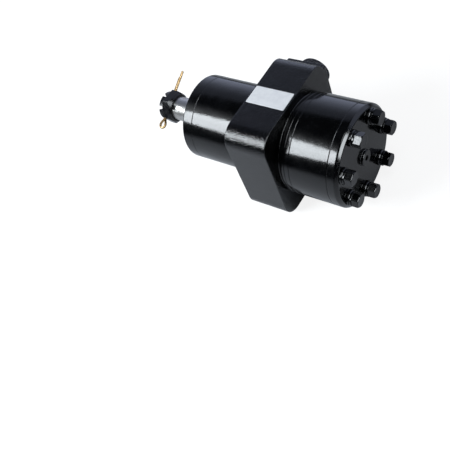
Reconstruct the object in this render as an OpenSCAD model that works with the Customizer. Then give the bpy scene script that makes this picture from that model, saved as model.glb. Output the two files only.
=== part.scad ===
// Hydraulic wheel motor, orbital roller-gear type with a spool valve on the output shaft.
// Origin: centre of the mounting face of the square block, on the shaft axis.
// The shaft points along -X, the end cover along +X, and +Z is up.

/* [Housing] */
// Diameter of the front barrel
barrel_d = 87.4; // [80:0.2:92]
// Length of the barrel in front of the mounting face, without the front cover
barrel_len = 62.5; // [60:0.5:70]
// Width and height of the square block
block_w = 113; // [108:0.2:120]
// Thickness of the square block along the shaft
block_len = 45; // [43:0.5:52]
// Corner radius of the square block
block_corner_r = 17.5; // [10:0.5:22]
// Diameter of the undercut neck behind the block
neck_d = 94; // [92:0.5:97]
// Length of the undercut neck
neck_len = 4; // [2:0.5:6]
// Thickness of the round flange at the rear of the housing
rear_flange_t = 3.5; // [3:0.5:8]

/* [Ports] */
// Height of the raised port pad above the block side
pad_rise = 5; // [1:0.5:6]
// Length of the port pad along the shaft
pad_len = 43; // [38:0.5:43]
// Height of the port pad from its lower to its upper edge
pad_h = 87; // [76:1:90]
// Tapping diameter of the two G 1/2 ports
port_d = 19; // [15:0.5:21]
// Depth of a port from the pad face
port_depth = 18; // [14:0.5:20]
// Distance from the mounting face to the port centres
port_x = 26; // [25:0.5:28]
// Height of a port centre above or below the shaft axis
port_z = 26; // [22:0.5:27]
// Diameter of the drilled passages from the ports to the valve
passage_d = 9; // [6:0.5:9]

/* [Mounting] */
// Tapping diameter of the four M10 mounting holes
mount_hole_d = 8.5; // [6.8:0.1:10.2]
// Depth of the mounting holes
mount_hole_depth = 15; // [10:0.5:16]
// Half the spacing of the mounting holes, both ways
mount_half = 42; // [41:0.5:43]

/* [Rear stack] */
// Outer diameter of the spacer plate, gear ring and end cover
stack_d = 100; // [98:0.5:106]
// Thickness of the spacer plate
plate_t = 5; // [4:0.5:8]
// Width of the gear ring, rotor and rollers
gear_w = 40; // [30:1:50]
// Thickness of the end cover
end_cover_t = 11; // [9:0.5:14]
// Length of the end cover's edge chamfer along the shaft
end_chamfer_x = 4.5; // [1:0.25:5]
// Depth of the end cover's edge chamfer toward the axis
end_chamfer_r = 3; // [1:0.25:4]
// Number of rollers, and of cover bolts between them
n_rollers = 7; // [7]
// Angle of the first cover bolt, from +Y toward +Z
bolt_phase = 2; // [0:0.5:12]
// Radius of the cover bolt circle
bolt_circle_r = 39.3; // [39:0.1:40]

/* [Roller gear set] */
// Radius of the circle through the roller centres
roller_circle_r = 31; // [30.5:0.1:31.5]
// Roller diameter
roller_d = 12.4; // [12:0.1:12.8]
// Offset of the rotor centre from the shaft axis
eccentricity = 3; // [2.8:0.05:3.1]
// Clearance between rotor and rollers
gear_clear = 0.12; // [0.08:0.01:0.2]

/* [Output shaft] */
// Large-end diameter of the shaft taper
taper_d = 28.56; // [26:0.02:30]
// Length of the 1 in 10 taper
taper_len = 35; // [28:0.5:38]
// Distance from the front cover to the large end of the taper
taper_gap = 6; // [4:0.5:9]
// Thread diameter at the shaft nose
thread_d = 20; // [16:0.5:22]
// Length of the shaft nose thread
thread_len = 18; // [17:0.5:22]
// Diameter of the shaft where the seals and the front bearing run
journal_d = 35; // [33:0.5:36]
// Diameter of the valve spool at the inner end of the shaft
spool_d = 45; // [44:0.5:47]
// Width of the keyway in the taper
keyway_w = 5; // [3:0.5:6]
// Depth of the keyway below the shaft surface
keyway_depth = 3; // [2:0.25:4]
// Length of the keyway
keyway_len = 14; // [10:0.5:20]
// Angle of the keyway, from +Y toward +Z
keyway_angle = 130; // [0:1:360]

/* [Nut and cotter] */
// Width of the castle nut across its flats
nut_af = 32; // [28:0.5:34]
// Height of the plain hexagon of the nut
nut_hex_h = 11; // [8:0.5:12]
// Height of the slotted crown of the nut
nut_crown_h = 6; // [5:0.5:7]
// Width of the crown slots
nut_slot_w = 4.6; // [4.2:0.1:5.5]
// Wire diameter of one leg of the cotter pin
cotter_wire_d = 1.8; // [1.4:0.1:2]
// Angle of the cotter pin, from +Y toward +Z
cotter_angle = 25; // [0:1:60]

/* [Drive link] */
// Diameter over the link splines
spline_d = 26; // [25:0.2:27]
// Number of spline teeth
spline_teeth = 10; // [8:1:10]
// Width of a link spline tooth
spline_tooth_w = 3.4; // [3:0.1:3.8]
// Height of a spline tooth
spline_tooth_h = 2.6; // [2:0.1:2.8]
// Shank diameter of the drive link
link_shank_d = 18.6; // [16:0.2:19]

/* [Bolts and plugs] */
// Cover bolt thread diameter
bolt_d = 8; // [7:0.5:8]
// Width of the cover bolt heads across their flats
bolt_af = 13; // [12:0.5:14]
// Height of the hexagon of a cover bolt head
bolt_hex_h = 7.2; // [5.3:0.1:8]
// Height of the round collar under the hexagon
bolt_collar_h = 2; // [1:0.1:2.5]
// Thickness of a cover bolt washer
washer_t = 2.6; // [1.6:0.1:3]
// Outer diameter of a cover bolt washer
washer_d = 16; // [15:0.5:17]
// Head diameter of the drain plug
drain_head_d = 15.6; // [14:0.2:18]
// Height of the drain plug head
drain_head_h = 2.2; // [2:0.1:5]
// Diameter of the port plug flange
port_plug_d = 32; // [28:0.5:34]
// Height of the port plug flange above the pad
port_plug_h = 7; // [4:0.5:9]

/* [Front cover and bearings] */
// Thickness of the front cover
cover_t = 12; // [9:0.5:13]
// Depth of the spigot that centres the cover in the barrel
spigot_len = 3.5; // [3:0.25:5]
// Diameter of the cover spigot
spigot_d = 58; // [56:0.5:62]
// Number of front cover screws
n_cover_screws = 6; // [4:1:8]
// Radius of the front cover screw circle
cover_screw_r = 36; // [35.5:0.1:36.5]
// Outside diameter of the radial bearing
bearing_d = 47; // [47:0.5:50]
// Length of the radial bearing
bearing_len = 20; // [16:0.5:20]
// Diameter of a bearing roller
bearing_roller_d = 3.9; // [3:0.1:4]
// Number of bearing rollers
n_bearing_rollers = 18; // [12:1:20]
// Diameter of a thrust needle
thrust_needle_d = 2; // [1.5:0.1:2.4]
// Number of thrust needles
n_thrust_needles = 24; // [16:1:28]
// Thickness of a thrust washer
thrust_washer_t = 1; // [0.8:0.1:1.5]

/* [Fits] */
// Radial running clearance of shafts and spool
run_clear = 0.04; // [0.02:0.01:0.1]
// Gap between pieces that are assembled face to face and may slide
side_clear = 0.03; // [0.02:0.01:0.1]
// Radial clearance of bolts and plugs in their holes
hole_clear = 0.3; // [0.1:0.05:0.5]
// Side clearance of the link splines
spline_clear = 0.45; // [0.4:0.05:0.6]

/* [Hidden] */
$fn = 96;
eps = 0.01;

// Stations along the shaft axis
x_barrel = -barrel_len;
x_cover = x_barrel - cover_t;
x_block = block_len;
x_neck = x_block + neck_len;
x_rear = x_neck + rear_flange_t;
x_plate = x_rear + plate_t;
x_gear = x_plate + gear_w;
x_end = x_gear + end_cover_t;
x_taper_big = x_cover - taper_gap;
x_taper_small = x_taper_big - taper_len;
x_nose = x_taper_small - thread_len;
x_nut_front = x_taper_small - nut_hex_h - nut_crown_h;
x_crown = x_taper_small - nut_hex_h;
x_cotter = x_crown - nut_crown_h / 2;

// Bearing seats inside the barrel
x_spigot = x_barrel + spigot_len;
x_bearing = x_spigot + side_clear;
x_ledge_front = x_bearing + bearing_len + side_clear;
ledge_t = 4;
x_ledge = x_ledge_front + ledge_t;
thrust_stack = 2 * thrust_washer_t + thrust_needle_d + 4 * side_clear;
x_spool = x_ledge + thrust_stack;
x_spool_rear = x_rear - 1.5;
ledge_bore_r = journal_d / 2 + 1;
bearing_ring_t = bearing_d / 2 - journal_d / 2 - bearing_roller_d - 2 * run_clear;
bearing_pitch_r = journal_d / 2 + run_clear + bearing_roller_d / 2;

// Valve grooves and windows
spool_r = spool_d / 2;
bore_r = spool_r + run_clear;
groove_w = 6;
x_groove_a = -15;
x_window = -1;
x_groove_b = 13;
housing_groove_r = bore_r + 5;
x_thrust_mid = x_ledge + thrust_stack / 2;
thrust_needle_r0 = journal_d / 2 + 1.2;
thrust_needle_len = bore_r - 1 - thrust_needle_r0;
spool_groove_r = spool_r - 3;
gallery_r = 33;
gallery_d = 7;
slot_w = 3.5;
slot_overlap = 1;

// Roller gear set
roller_r = roller_d / 2;
roller_phase = bolt_phase + 180 / n_rollers;
rotor_angle = n_rollers * roller_phase;
rotor_y = eccentricity * cos(rotor_angle);
rotor_z = eccentricity * sin(rotor_angle);
n_lobes = n_rollers - 1;
rotor_reach = roller_circle_r + 2 * eccentricity - roller_r;
cavity_r = roller_circle_r - 0.8;
scallop_r = 12;
x_rotor_mid = (x_plate + x_gear) / 2;

// Drive link
x_pivot = -4;
link_tilt = atan2(eccentricity, x_rotor_mid - x_pivot);
link_len = (x_rotor_mid - x_pivot) / cos(link_tilt);
head_half = 7;
spline_r = spline_d / 2;
spline_root_r = spline_r - spline_tooth_h;
socket_r = spline_r + 0.5;
socket_root_r = spline_root_r + 0.5;
link_bore_r = spline_r + 1.4;
spacer_t = 3.8;
spacer_r = spline_r + 0.2;

// Fasteners
bolt_hole_r = bolt_d / 2 + hole_clear;
bolt_depth = 18;
bolt_head_r = bolt_af / sqrt(3);
collar_r = bolt_af / 2 + 1;
drain_hole_r = 4.9;
drain_socket_af = 5;
drain_seal_t = 1;
screw_d = 6;
screw_head_d = 10;
screw_head_h = 6;
screw_depth = 12;

// Seats of the two shaft seals in the front cover, and the seals in them
cover_bore_r = ledge_bore_r + 1;
seal_seat_r = spigot_d / 2 - 4;
seal_seat_len = 9.5;
seal_wall = 1.5;
seal_t = 1.8;
seal_len = 8;
seal_lip_len = 5.5;
dust_seat_r = (cover_bore_r + seal_seat_r) / 2;
dust_seat_len = 4;
dust_seal_t = 1.6;
dust_seal_len = 3.6;
cover_chamfer = 1.2;

// Sections of the O-rings
ring_wire_d = 1.8;
face_ring_r = 46.5;
face_groove_depth = 1.4;
face_groove_half = 1.1;
spigot_ring_r = spigot_d / 2 - ring_wire_d / 2;
x_spigot_groove = x_barrel + 0.8;
ring_slack = 0.1;

cast_black = "#17181a";
steel = "#b9bcc0";
bright_steel = "#d5d7da";
rubber = "#26262a";

// Cylinder along X from x0 to x1
module rod(x0, x1, r) {
    translate([x0, 0, 0]) rotate([0, 90, 0]) cylinder(h = x1 - x0, r = r);
}

// Cone along X from radius r0 at x0 to radius r1 at x1
module cone(x0, x1, r0, r1) {
    translate([x0, 0, 0]) rotate([0, 90, 0]) cylinder(h = x1 - x0, r1 = r0, r2 = r1);
}

// Ring with a rectangular section, from x0 to x1
module ring(x0, x1, r_in, r_out) {
    difference() {
        rod(x0, x1, r_out);
        rod(x0 - 1, x1 + 1, r_in);
    }
}

// O-ring with wire diameter d, centred on the axis at x
module o_ring(x, r, d) {
    translate([x, 0, 0]) rotate([0, 90, 0]) rotate_extrude() translate([r, 0]) circle(d = d, $fn = 24);
}

// Copies of the children, turned about X, the first at the angle phase
module around(n, phase = 0) {
    for (k = [0 : n - 1]) rotate([phase + k * 360 / n, 0, 0]) children();
}

// Straight drilling between two points
module drilling(p, q, d) {
    v = q - p;
    len = norm(v);
    translate(p) rotate([0, acos(v[2] / len), atan2(v[1], v[0])]) cylinder(h = len, d = d);
}

// Hexagon prism along X with both end edges chamfered by a cone
module hexagon(x0, x1, af, chamfer0, chamfer1) {
    corner_r = af / sqrt(3);
    face_r = af / 2 * 0.95;
    drop = (corner_r - face_r) * tan(30);
    intersection() {
        translate([x0, 0, 0]) rotate([0, 90, 0]) cylinder(h = x1 - x0, r = corner_r, $fn = 6);
        union() {
            rod(x0 + (chamfer0 ? drop : 0), x1 - (chamfer1 ? drop : 0), corner_r + 1);
            if (chamfer0) cone(x0, x0 + drop + eps, face_r, corner_r);
            if (chamfer1) cone(x1 - drop - eps, x1, corner_r, face_r);
        }
    }
}

// Square with round corners, drawn flat
module round_square(w, h, r) {
    square([w - 2 * r, h], center = true);
    square([w, h - 2 * r], center = true);
    for (sx = [-1, 1], sy = [-1, 1]) translate([sx * (w / 2 - r), sy * (h / 2 - r)]) circle(r = r);
}

// Square block along X from x0 to x1
module block(x0, x1, w, h, r) {
    translate([x0, 0, 0]) rotate([90, 0, 90]) linear_extrude(x1 - x0) round_square(w, h, r);
}

module port_pad() {
    pad_depth = 8;
    translate([block_len / 2, block_w / 2 + pad_rise, 0]) rotate([90, 0, 0])
        linear_extrude(pad_rise + pad_depth) round_square(pad_len, pad_h, 3);
}

module housing_passages() {
    port_face = block_w / 2 + pad_rise;
    for (s = [-1, 1]) {
        translate([port_x, port_face + 1, s * port_z]) rotate([90, 0, 0]) cylinder(h = port_depth + 1, d = port_d);
    }
    start_y = port_face - port_depth + 1;
    drilling([port_x, start_y, port_z], [x_groove_b + groove_w / 2, 16.5, 21], passage_d);
    drilling([port_x, start_y, -port_z], [x_groove_a + groove_w / 2, 16.5, -21], passage_d);
    for (x = [x_groove_a, x_groove_b]) rod(x, x + groove_w, housing_groove_r);
    around(n_rollers, roller_phase) {
        translate([x_window, gallery_r, 0]) rotate([0, 90, 0]) cylinder(h = x_rear - x_window + 1, d = gallery_d, $fn = 32);
        translate([x_window, 0, -gallery_d / 2]) cube([groove_w, gallery_r, gallery_d]);
    }
}

module housing() {
    color(cast_black) difference() {
        union() {
            rod(x_barrel, 1, barrel_d / 2);
            block(0, x_block, block_w, block_w, block_corner_r);
            port_pad();
            rod(x_block - 1, x_rear, neck_d / 2);
            rod(x_neck, x_rear, stack_d / 2);
        }
        rod(x_barrel - 1, x_spigot + side_clear, spigot_d / 2 + run_clear);
        rod(x_barrel, x_ledge_front, bearing_d / 2 + run_clear / 2);
        rod(x_barrel, x_ledge + 1, ledge_bore_r);
        rod(x_ledge, x_rear + 1, bore_r);
        housing_passages();
        around(n_rollers, bolt_phase)
            translate([x_rear - bolt_depth, bolt_circle_r, 0]) rotate([0, 90, 0])
                cylinder(h = bolt_depth + 1, r = bolt_d / 2 + run_clear / 2, $fn = 32);
        around(n_cover_screws, 180 / n_cover_screws)
            translate([x_barrel - 1, cover_screw_r, 0]) rotate([0, 90, 0])
                cylinder(h = screw_depth + 1, r = screw_d / 2 + run_clear / 2, $fn = 32);
        for (sy = [-1, 1], sz = [-1, 1])
            translate([-1, sy * mount_half, sz * mount_half]) rotate([0, 90, 0])
                cylinder(h = mount_hole_depth + 1, d = mount_hole_d);
        face_groove(x_rear - face_groove_depth, x_rear + 1);
    }
}

module label_plate() {
    label_w = 42;
    label_h = 21.5;
    color("#e9e9ea") translate([block_len / 2 - label_w / 2, -13, block_w / 2]) cube([label_w, label_h, 0.3]);
}

module port_plug() {
    face_y = block_w / 2 + pad_rise + side_clear;
    stem_len = 12;
    color("#2c2d30") translate([port_x, face_y, port_z]) rotate([-90, 0, 0]) {
        rotate_extrude() polygon([
            [0, 0], [port_plug_d / 2, 0], [port_plug_d / 2, port_plug_h - 1],
            [port_plug_d / 2 - 1, port_plug_h], [port_plug_d / 2 - 4, port_plug_h],
            [port_plug_d / 2 - 5, port_plug_h - 1.5], [0, port_plug_h - 1.5]
        ]);
        translate([0, 0, -stem_len]) difference() {
            cylinder(h = stem_len + eps, r = port_d / 2 - hole_clear / 2);
            translate([0, 0, -1]) cylinder(h = stem_len - 1, r = port_d / 2 - 2.5);
        }
    }
}

module front_cover() {
    color(cast_black) difference() {
        union() {
            rod(x_cover + cover_chamfer, x_barrel, barrel_d / 2);
            cone(x_cover, x_cover + cover_chamfer + eps, barrel_d / 2 - cover_chamfer, barrel_d / 2);
            rod(x_barrel - 1, x_spigot, spigot_d / 2);
        }
        rod(x_cover - 1, x_spigot + 1, cover_bore_r);
        rod(x_cover - 1, x_cover + dust_seat_len, dust_seat_r);
        rod(x_spigot - seal_seat_len, x_spigot + 1, seal_seat_r);
        ring(x_spigot_groove, x_spigot_groove + ring_wire_d * 1.3, spigot_d / 2 - ring_wire_d, spigot_d / 2 + 1);
        around(n_cover_screws, 180 / n_cover_screws) translate([0, cover_screw_r, 0]) {
            rod(x_cover - 1, x_barrel + 1, screw_d / 2 + hole_clear);
            rod(x_cover - 1, x_cover + screw_head_h + 0.5, screw_head_d / 2 + hole_clear);
        }
    }
}

module front_cover_screws() {
    head_x = x_cover + 0.5;
    socket_af = 5;
    color(steel) around(n_cover_screws, 180 / n_cover_screws) translate([0, cover_screw_r, 0]) difference() {
        union() {
            rod(head_x, head_x + screw_head_h, screw_head_d / 2);
            rod(head_x + screw_head_h - eps, x_barrel + screw_depth - 1, screw_d / 2);
        }
        translate([head_x - 1, 0, 0]) rotate([0, 90, 0]) cylinder(h = 4, r = socket_af / sqrt(3), $fn = 6);
    }
}

module front_cover_o_ring() {
    color(rubber) o_ring(x_spigot_groove + ring_wire_d * 0.65, spigot_ring_r, ring_wire_d - ring_slack);
}

module dust_seal() {
    inner_r = journal_d / 2 + run_clear;
    outer_r = dust_seat_r - run_clear / 2;
    color(rubber) translate([x_cover + hole_clear, 0, 0]) rotate([0, 90, 0]) rotate_extrude() polygon([
        [inner_r, 0], [inner_r + 1.2, 0], [inner_r + dust_seal_t, dust_seal_t],
        [outer_r, dust_seal_t], [outer_r, dust_seal_len], [ledge_bore_r + 0.4, dust_seal_len],
        [inner_r, dust_seal_t / 2]
    ]);
}

module shaft_seal() {
    seal_r = seal_seat_r - run_clear / 2;
    inner_r = journal_d / 2 + run_clear;
    lip_r = inner_r + seal_t;
    color(rubber) translate([x_spigot - seal_seat_len + hole_clear, 0, 0]) rotate([0, 90, 0]) rotate_extrude() polygon([
        [seal_r, 0], [seal_r, seal_len], [seal_r - seal_wall, seal_len], [seal_r - seal_wall, seal_t],
        [lip_r, seal_t], [lip_r, seal_lip_len], [inner_r + seal_t / 2, seal_lip_len],
        [inner_r, seal_lip_len * 0.6], [inner_r + seal_t / 3, 0]
    ]);
}

module bearing_ring() {
    lip_t = 0.8;
    color(steel) difference() {
        rod(x_bearing, x_bearing + bearing_len, bearing_d / 2);
        rod(x_bearing + lip_t, x_bearing + bearing_len - lip_t, bearing_d / 2 - bearing_ring_t);
        rod(x_bearing - 1, x_bearing + bearing_len + 1, bearing_pitch_r + 1);
    }
}

module bearing_rollers() {
    color(bright_steel) around(n_bearing_rollers) translate([0, bearing_pitch_r, 0])
        translate([x_bearing + 2, 0, 0]) rotate([0, 90, 0])
            cylinder(h = bearing_len - 4, d = bearing_roller_d, $fn = 24);
}

module bearing_cage() {
    pocket_r = bearing_roller_d / 2 + 0.12;
    color("#a58a4a") difference() {
        ring(x_bearing + 1, x_bearing + bearing_len - 1, bearing_pitch_r - 0.7, bearing_pitch_r + 0.7);
        around(n_bearing_rollers) translate([x_bearing + 1.9, bearing_pitch_r, 0]) rotate([0, 90, 0])
            cylinder(h = bearing_len - 3.8, r = pocket_r, $fn = 24);
    }
}

module thrust_washer(x) {
    color(steel) ring(x, x + thrust_washer_t, journal_d / 2 + 0.5, bore_r - 0.4);
}

module thrust_washer_front() { thrust_washer(x_ledge + side_clear); }

module thrust_washer_rear() { thrust_washer(x_spool - side_clear - thrust_washer_t); }

module thrust_needles() {
    color(bright_steel) around(n_thrust_needles) translate([x_thrust_mid, thrust_needle_r0, 0])
        rotate([-90, 0, 0]) cylinder(h = thrust_needle_len, d = thrust_needle_d, $fn = 20);
}

module thrust_cage() {
    cage_t = thrust_needle_d * 0.5;
    color("#a58a4a") difference() {
        ring(x_thrust_mid - cage_t / 2, x_thrust_mid + cage_t / 2, journal_d / 2 + 0.6, bore_r - 0.5);
        around(n_thrust_needles) translate([x_thrust_mid, thrust_needle_r0 - 0.08, 0])
            rotate([-90, 0, 0]) cylinder(h = thrust_needle_len + 0.16, d = thrust_needle_d + 0.16, $fn = 20);
    }
}

// Flat outline of the spline teeth, used for the link and, larger, for the sockets
module spline_outline(r_root, r_tip, tooth_w) {
    circle(r = r_root);
    for (k = [0 : spline_teeth - 1]) rotate(k * 360 / spline_teeth)
        translate([0, -tooth_w / 2]) square([r_tip, tooth_w]);
}

module spline_socket(x0, x1) {
    translate([x0, 0, 0]) rotate([90, 0, 90]) linear_extrude(x1 - x0)
        spline_outline(socket_root_r, socket_r, spline_tooth_w + 2 * spline_clear);
}

module keyway() {
    rotate([keyway_angle, 0, 0])
        translate([x_taper_small - 1, taper_d / 2 - taper_len / 20 - keyway_depth, -keyway_w / 2])
            cube([keyway_len + 1, 10, keyway_w]);
}

// Feed slots of the spool: one set runs back from groove A, the other forward from groove B
module spool_slots() {
    slot_end_a = x_window + groove_w - slot_overlap;
    slot_end_b = x_window + slot_overlap;
    for (k = [0 : n_lobes - 1]) {
        rotate([k * 360 / n_lobes + 15, 0, 0])
            translate([x_groove_a + 1, spool_groove_r, -slot_w / 2]) cube([slot_end_a - x_groove_a - 1, 6, slot_w]);
        rotate([(k + 0.5) * 360 / n_lobes + 15, 0, 0])
            translate([slot_end_b, spool_groove_r, -slot_w / 2]) cube([x_groove_b + 1 - slot_end_b, 6, slot_w]);
    }
}

module output_shaft() {
    taper_small_r = taper_d / 2 - taper_len / 20;
    thread_r = thread_d / 2;
    color(bright_steel) difference() {
        union() {
            cone(x_nose, x_nose + 1.5 + eps, thread_r - 1.5, thread_r);
            rod(x_nose + 1.5, x_taper_small + eps, thread_r);
            cone(x_taper_small, x_taper_big, taper_small_r, taper_d / 2);
            rod(x_taper_big - eps, x_cover - 1.5, taper_d / 2);
            cone(x_cover - 1.5 - eps, x_cover, taper_d / 2, journal_d / 2);
            rod(x_cover - eps, x_spool + eps, journal_d / 2);
            rod(x_spool, x_spool_rear, spool_r);
        }
        keyway();
        for (x = [x_groove_a, x_groove_b]) ring(x, x + groove_w, spool_groove_r, spool_r + 1);
        spool_slots();
        spline_socket(x_pivot - head_half - 2, x_pivot + head_half + 2);
        rod(x_pivot + head_half + 1, x_spool_rear + 1, link_bore_r);
        rotate([cotter_angle, 0, 0]) translate([x_cotter, 0, 0]) rotate([90, 0, 0])
            cylinder(h = thread_d + 2, r = cotter_wire_d + 0.3, center = true, $fn = 32);
    }
}

module castle_nut() {
    crown_r = nut_af / 2 - 0.8;
    color("#1b1c1e") rotate([cotter_angle, 0, 0]) difference() {
        union() {
            hexagon(x_crown - eps, x_taper_small - side_clear, nut_af, false, true);
            rod(x_nut_front + 0.8, x_crown, crown_r);
            cone(x_nut_front, x_nut_front + 0.8 + eps, crown_r - 0.8, crown_r);
        }
        rod(x_nut_front - 1, x_taper_small + 1, thread_d / 2 + run_clear / 2);
        for (k = [0 : 2]) rotate([k * 60, 0, 0])
            translate([x_nut_front - 1, -nut_af, -nut_slot_w / 2]) cube([nut_crown_h + 1, 2 * nut_af, nut_slot_w]);
    }
}

// Cotter pin: two half-round legs side by side and an eye loop
module cotter_pin() {
    r = cotter_wire_d - 0.15;
    leg_start = -15.5;
    long_leg = 40.5;
    short_leg = 33;
    eye_r = 4.2;
    eye_len = 8;
    color("#c9a660") rotate([cotter_angle, 0, 0]) translate([x_cotter, 0, 0]) rotate([0, 90, 0]) {
        for (s = [-1, 1]) intersection() {
            translate([0, leg_start, 0]) rotate([-90, 0, 0])
                cylinder(h = (s > 0 ? long_leg : short_leg) - leg_start, r = r, $fn = 24);
            translate([-10, leg_start - 1, s > 0 ? 0.06 : -10.06]) cube([20, 60, 10]);
        }
        cotter_eye(leg_start, eye_r, eye_len, r * 0.62);
    }
}

// Eye of the cotter pin: a round loop drawn in to the two legs
module cotter_eye(y0, loop_r, neck, wire_r) {
    loop_y = y0 - neck;
    spread = loop_r * 0.94;
    translate([0, loop_y, 0]) rotate([0, 90, 0]) difference() {
        rotate_extrude($fn = 48) translate([loop_r, 0]) circle(r = wire_r, $fn = 16);
        translate([-20, loop_r * 0.34, -5]) cube([40, 20, 10]);
    }
    for (s = [-1, 1]) drilling([0, loop_y + loop_r * 0.34 - 0.2, s * spread], [0, y0 + 1, s * wire_r], 2 * wire_r);
}

module link_head(x) {
    translate([x, 0, 0]) intersection() {
        sphere(r = spline_r);
        translate([-head_half, 0, 0]) rotate([90, 0, 90]) linear_extrude(2 * head_half)
            spline_outline(spline_root_r, spline_r + 1, spline_tooth_w);
    }
}

module drive_link() {
    tail = 8.2;
    shank_r = link_shank_d / 2;
    color(steel) translate([x_pivot, 0, 0]) rotate([rotor_angle, 0, 0]) rotate([0, 0, link_tilt])
        rotate([-rotor_angle, 0, 0]) {
            link_head(0);
            link_head(link_len);
            rod(-head_half - 1, link_len + head_half + tail, shank_r - 1);
            rod(head_half, link_len - head_half, shank_r);
        }
}

module link_spacer() {
    color("#8d9096") translate([0, rotor_y, rotor_z])
        rod(x_gear - spacer_t - side_clear, x_gear - side_clear, spacer_r);
}

// Groove for a face O-ring, from x0 to x1
module face_groove(x0, x1) { ring(x0, x1, face_ring_r - face_groove_half, face_ring_r + face_groove_half); }

module face_o_ring(x) { color(rubber) o_ring(x, face_ring_r, face_groove_depth - ring_slack); }

module housing_face_o_ring() { face_o_ring(x_rear - face_groove_depth / 2); }

module plate_o_ring() { face_o_ring(x_plate - face_groove_depth / 2); }

module end_cover_o_ring() { face_o_ring(x_gear + face_groove_depth / 2); }

module bolt_holes(x0, x1) {
    around(n_rollers, bolt_phase) translate([x0, bolt_circle_r, 0]) rotate([0, 90, 0])
        cylinder(h = x1 - x0, r = bolt_hole_r, $fn = 32);
}

module spacer_plate() {
    color(cast_black) difference() {
        rod(x_rear, x_plate, stack_d / 2);
        rod(x_rear - 1, x_plate + 1, spline_r + 2.5);
        bolt_holes(x_rear - 1, x_plate + 1);
        around(n_rollers, roller_phase) translate([x_rear - 1, gallery_r - 5, 0]) rotate([0, 90, 0])
            cylinder(h = plate_t + 2, d = gallery_d, $fn = 32);
        face_groove(x_plate - face_groove_depth, x_plate + 1);
    }
}

module gear_ring() {
    scallop_x = rotor_reach + 0.6 - scallop_r;
    color(cast_black) difference() {
        rod(x_plate, x_gear, stack_d / 2);
        rod(x_plate - 1, x_gear + 1, cavity_r);
        around(n_rollers, bolt_phase) translate([x_plate - 1, scallop_x, 0]) rotate([0, 90, 0])
            cylinder(h = gear_w + 2, r = scallop_r);
        around(n_rollers, roller_phase) translate([x_plate - 1, roller_circle_r, 0]) rotate([0, 90, 0])
            cylinder(h = gear_w + 2, r = roller_r + run_clear);
        bolt_holes(x_plate - 1, x_gear + 1);
    }
}

module roller(k) {
    color(bright_steel) rotate([roller_phase + (k - 1) * 360 / n_rollers, 0, 0]) translate([0, roller_circle_r, 0])
        rod(x_plate + side_clear, x_gear - side_clear, roller_r);
}

// Path of a roller centre seen from the rotor, at the angle t
function path(t) = [
    roller_circle_r * cos(t) - eccentricity * cos(n_rollers * t),
    roller_circle_r * sin(t) - eccentricity * sin(n_rollers * t)
];

// Direction of travel along that path
function path_dir(t) = [
    -roller_circle_r * sin(t) + n_rollers * eccentricity * sin(n_rollers * t),
    roller_circle_r * cos(t) - n_rollers * eccentricity * cos(n_rollers * t)
];

// Point of the rotor flank: the path moved inward by the roller radius and the clearance
function flank(t) = let (d = path_dir(t) / norm(path_dir(t))) path(t) - (roller_r + gear_clear) * [d[1], -d[0]];

module rotor() {
    steps = 216;
    color(steel) translate([0, rotor_y, rotor_z]) difference() {
        translate([x_plate + side_clear, 0, 0]) rotate([90, 0, 90]) linear_extrude(gear_w - 2 * side_clear)
            polygon([for (k = [0 : steps - 1]) flank(k * 360 / steps)]);
        spline_socket(x_plate - 1, x_gear + 1);
        rod(x_gear - spacer_t - 0.5, x_gear + 1, spacer_r + 0.3);
    }
}

module end_cover() {
    color(cast_black) difference() {
        union() {
            rod(x_gear, x_end - end_chamfer_x + eps, stack_d / 2);
            cone(x_end - end_chamfer_x, x_end, stack_d / 2, stack_d / 2 - end_chamfer_r);
        }
        bolt_holes(x_gear - 1, x_end + 1);
        rod(x_gear - 1, x_end + 1, drain_hole_r);
        face_groove(x_gear - 1, x_gear + face_groove_depth);
    }
}

module end_cover_bolts() {
    collar_x = x_end + washer_t;
    hex_x = collar_x + bolt_collar_h;
    color(cast_black) around(n_rollers, bolt_phase) translate([0, bolt_circle_r, 0]) {
        rod(x_rear - bolt_depth + 2, collar_x + eps, bolt_d / 2);
        rod(collar_x, hex_x + eps, collar_r);
        rotate([15, 0, 0]) hexagon(hex_x, hex_x + bolt_hex_h, bolt_af, false, true);
    }
}

module bolt_washers() {
    color(cast_black) around(n_rollers, bolt_phase) translate([0, bolt_circle_r, 0])
        ring(x_end, x_end + washer_t, bolt_d / 2 + run_clear, washer_d / 2);
}

module drain_plug() {
    head_x = x_end + drain_seal_t;
    color(cast_black) difference() {
        union() {
            rod(x_gear + 1.5, head_x + eps, drain_hole_r - run_clear);
            rod(head_x, head_x + drain_head_h, drain_head_d / 2);
        }
        translate([x_end - 3, 0, 0]) rotate([0, 90, 0]) cylinder(h = 10, r = drain_socket_af / sqrt(3), $fn = 6);
    }
}

module drain_plug_seal() {
    color("#303236") ring(x_end, x_end + drain_seal_t, drain_hole_r, drain_head_d / 2 + hole_clear);
}

housing();
label_plate();
port_plug();
front_cover();
front_cover_screws();
front_cover_o_ring();
dust_seal();
shaft_seal();
bearing_ring();
bearing_cage();
bearing_rollers();
thrust_washer_front();
thrust_cage();
thrust_needles();
thrust_washer_rear();
output_shaft();
castle_nut();
cotter_pin();
drive_link();
link_spacer();
housing_face_o_ring();
spacer_plate();
plate_o_ring();
gear_ring();
roller(1);  // roller_1
roller(2);  // roller_2
roller(3);  // roller_3
roller(4);  // roller_4
roller(5);  // roller_5
roller(6);  // roller_6
roller(7);  // roller_7
rotor();
end_cover_o_ring();
end_cover();
end_cover_bolts();
bolt_washers();
drain_plug();
drain_plug_seal();
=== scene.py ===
# A hydraulic wheel motor in gloss black paint, lying on one side of its square block.
# All lengths in this file are millimetres, and become metres when a mesh is made.
from math import cos, hypot, pi, radians, sin, sqrt, tan

import bpy
import bmesh
from mathutils import Matrix, Vector, noise as field


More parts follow.
